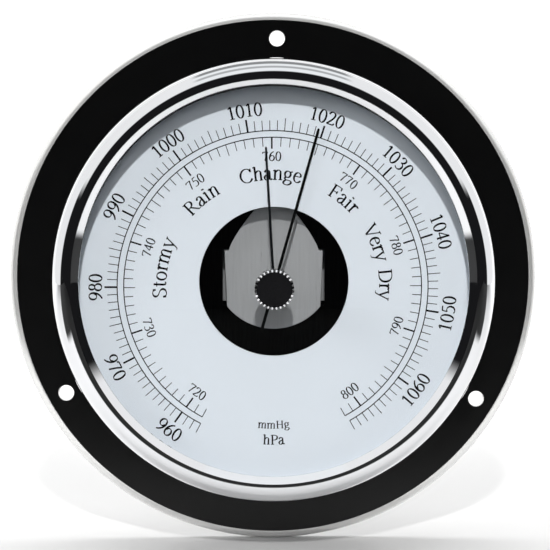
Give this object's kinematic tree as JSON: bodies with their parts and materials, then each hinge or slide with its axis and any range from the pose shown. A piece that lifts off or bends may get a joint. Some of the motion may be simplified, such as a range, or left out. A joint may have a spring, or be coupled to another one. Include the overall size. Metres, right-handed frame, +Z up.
{
  "type": "aneroid barometer",
  "caption": "Round wall barometer: black flange, chrome bezel, open dial that shows the movement, long pressure hand, set hand turned by a knurled knob in the glass.",
  "frame": {"origin": "centre of the flange's flat back face, which lies on the wall", "axes": "+Z up, +Y into the wall, so the dial faces -Y; +X is to the right of a person reading the dial"},
  "size_m": [0.11, 0.0286, 0.11],
  "materials": {
    "black_lacquer": "gloss black lacquer over brass, polished rim",
    "chrome_case": "polished chrome plate",
    "chrome_bezel": "mirror-polished chrome plate",
    "chrome_knob": "polished chrome plate, knurled",
    "steel_screw": "zinc-plated steel",
    "steel_arbor": "turned steel",
    "spring_steel": "bright spring steel",
    "blued_spring": "blued spring steel",
    "black_cover": "satin black",
    "black_base": "satin black",
    "brushed_bridge": "brushed aluminium",
    "black_hand": "satin black lacquer",
    "grey_hand": "dark grey metal",
    "black_anodised": "turned face, black anodised",
    "dial_white": "satin cool white with black print",
    "white_ring": "satin white",
    "black_rubber": "matt",
    "clear_glass": "clear polished",
    "brass": "turned brass",
    "capsule_bronze": "rolled nickel-silver sheet"
  },
  "bodies": {
    "case": {"mounting_flange": "black_lacquer", "case_body": "chrome_case", "flange_screws": "steel_screw", "back_cover": "black_cover", "cover_screws": "steel_screw", "bezel": "chrome_bezel", "glass": "clear_glass", "glass_gasket": "black_rubber", "dial_ring": "white_ring", "dial_plate": "dial_white", "knob_bush": "brass", "bush_nut": "brass", "wave_washer": "spring_steel", "hairspring": "blued_spring", "hairspring_stud": "steel_arbor", "movement_base": "black_base", "base_screws": "steel_screw", "bridge": "brushed_bridge", "bridge_screws": "steel_screw", "pivot_bushes": "steel_arbor", "front_bush": "brass", "shade_plate": "black_base", "shade_posts": "brass", "shade_screws": "steel_screw", "rocker_brackets": "brushed_bridge", "bracket_screws": "steel_screw", "capsule_lower": "capsule_bronze", "capsule_upper": "capsule_bronze", "capsule_stud": "steel_arbor", "capsule_nut": "brass", "spring_bracket": "brushed_bridge", "spring_clamp": "brushed_bridge", "clamp_screws": "steel_screw"},
    "hand": {"pressure_hand": "black_hand", "hand_collet": "brass", "hand_arbor": "steel_arbor", "pinion": "brass", "hairspring_collet": "brass"},
    "sector": {"sector_gear": "brass", "sector_arbor": "steel_arbor"},
    "rocker": {"rocking_shaft": "steel_arbor", "lift_arm": "brass", "drive_arm": "brass"},
    "crown": {"capsule_crown": "brass"},
    "spring_leaf": {"main_spring": "blued_spring"},
    "setting_knob": {"set_knob": "chrome_knob", "knob_face": "black_anodised", "knob_stem": "steel_arbor", "set_hand": "grey_hand"},
    "adjuster": {"adjusting_screw": "steel_screw"}
  },
  "joints": [
    {"name": "sector_swing", "type": "hinge", "parent": "case", "child": "sector", "pos_m": [0, -0.0056, 0.0146], "axis": [0, 1, 0], "range_deg": [-11.24, 13.98], "stiffness_Nm_per_rad": 0.005},
    {"name": "hand_turn", "type": "hinge", "parent": "case", "child": "hand", "pos_m": [0, -0.0182, -0.001], "axis": [0, 1, 0], "range_deg": [-168.19, 135.24]},
    {"name": "rocker_tilt", "type": "hinge", "parent": "case", "child": "rocker", "pos_m": [-0.003, -0.0102, -0.001], "axis": [0, 0, 1], "range_deg": [-6.78, 5.47]},
    {"name": "capsule_breath", "type": "slide", "parent": "case", "child": "crown", "axis": [0, -1, 0], "range_m": [-0.000291, 0.00036]},
    {"name": "spring_flex", "type": "hinge", "parent": "case", "child": "spring_leaf", "pos_m": [0.017, -0.00907, -0.016], "axis": [0, 0, 1], "range_deg": [-0.97, 1.2]},
    {"name": "knob_turn", "type": "hinge", "parent": "case", "child": "setting_knob", "pos_m": [0, -0.024, -0.001], "axis": [0, 1, 0], "continuous": true},
    {"name": "adjuster_turn", "type": "hinge", "parent": "case", "child": "adjuster", "pos_m": [0.0245, -0.005, -0.016], "axis": [0, 1, 0], "range_deg": [-180, 180]}
  ],
  "couplings": [
    {"joint": "hand_turn", "follows": "sector_swing", "ratio": -12},
    {"joint": "rocker_tilt", "follows": "sector_swing", "ratio": -0.47826},
    {"joint": "capsule_breath", "follows": "sector_swing", "m_per_rad": 0.0014348},
    {"joint": "spring_flex", "follows": "sector_swing", "ratio": 0.084399}
  ]
}
